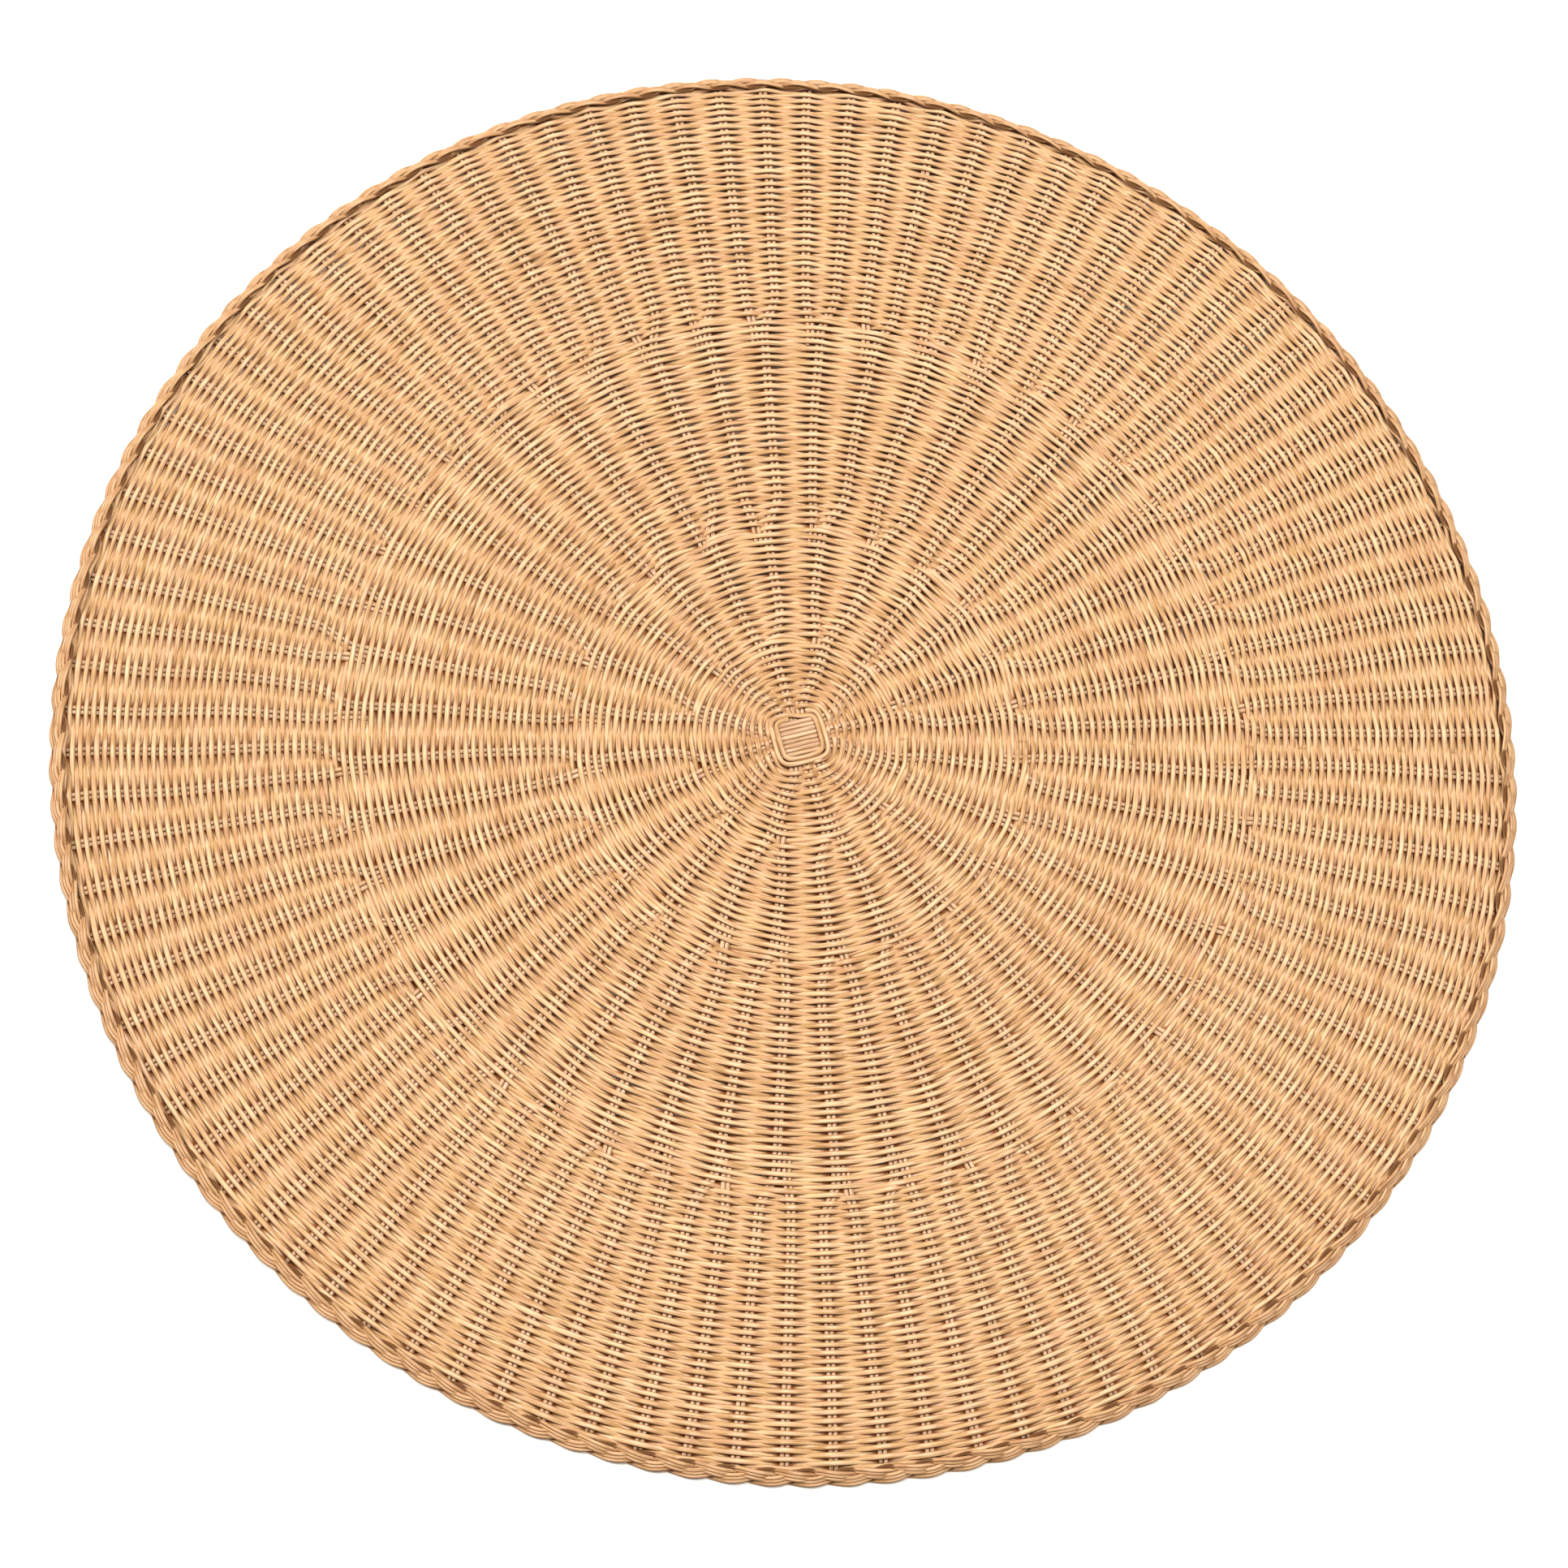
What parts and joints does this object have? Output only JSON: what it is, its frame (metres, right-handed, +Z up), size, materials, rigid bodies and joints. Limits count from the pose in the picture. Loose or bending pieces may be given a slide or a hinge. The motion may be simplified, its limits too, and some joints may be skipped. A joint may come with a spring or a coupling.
{
  "type": "seat pad",
  "caption": "Round hand-woven rattan seat pad: paired radial stakes from a bound centre cross, close plain weave and a rolled border, slightly domed.",
  "frame": {"origin": "on the surface it rests on, under the middle of the pad", "axes": "+Z up through the pad's face; +X along the upper layer of rods of the centre cross, +Y along the lower layer"},
  "size_m": [0.45, 0.45, 0.0103],
  "materials": {
    "stake_rattan": "satin",
    "weave_rattan": "satin",
    "border_rattan": "satin"
  },
  "bodies": {
    "root": {"base_rod_x_1": "stake_rattan", "base_rod_x_2": "stake_rattan", "base_rod_x_3": "stake_rattan", "base_rod_x_4": "stake_rattan", "base_rod_x_5": "stake_rattan", "base_rod_x_6": "stake_rattan", "base_rod_x_7": "stake_rattan", "base_rod_x_8": "stake_rattan", "base_rod_y_1": "stake_rattan", "base_rod_y_2": "stake_rattan", "base_rod_y_3": "stake_rattan", "base_rod_y_4": "stake_rattan", "base_rod_y_5": "stake_rattan", "base_rod_y_6": "stake_rattan", "base_rod_y_7": "stake_rattan", "base_rod_y_8": "stake_rattan", "stake_1_01": "stake_rattan", "stake_1_02": "stake_rattan", "stake_1_03": "stake_rattan", "stake_1_04": "stake_rattan", "stake_1_05": "stake_rattan", "stake_1_06": "stake_rattan", "stake_1_07": "stake_rattan", "stake_1_08": "stake_rattan", "stake_1_09": "stake_rattan", "stake_1_10": "stake_rattan", "stake_1_11": "stake_rattan", "stake_1_12": "stake_rattan", "stake_pair_2_01": "stake_rattan", "stake_pair_2_02": "stake_rattan", "stake_pair_2_03": "stake_rattan", "stake_pair_2_04": "stake_rattan", "stake_pair_2_05": "stake_rattan", "stake_pair_2_06": "stake_rattan", "stake_pair_2_07": "stake_rattan", "stake_pair_2_08": "stake_rattan", "stake_pair_2_09": "stake_rattan", "stake_pair_2_10": "stake_rattan", "stake_pair_2_11": "stake_rattan", "stake_pair_2_12": "stake_rattan", "stake_pair_2_13": "stake_rattan", "stake_pair_2_14": "stake_rattan", "stake_pair_2_15": "stake_rattan", "stake_pair_2_16": "stake_rattan", "stake_pair_2_17": "stake_rattan", "stake_pair_2_18": "stake_rattan", "stake_pair_2_19": "stake_rattan", "stake_pair_2_20": "stake_rattan", "stake_pair_2_21": "stake_rattan", "stake_pair_2_22": "stake_rattan", "stake_pair_2_23": "stake_rattan", "stake_pair_2_24": "stake_rattan", "centre_binding": "weave_rattan", "weave_zone_1": "weave_rattan", "weave_zone_2": "weave_rattan", "weave_zone_3": "weave_rattan", "weave_zone_4": "weave_rattan", "rolled_border": "border_rattan"}
  },
  "joints": []
}
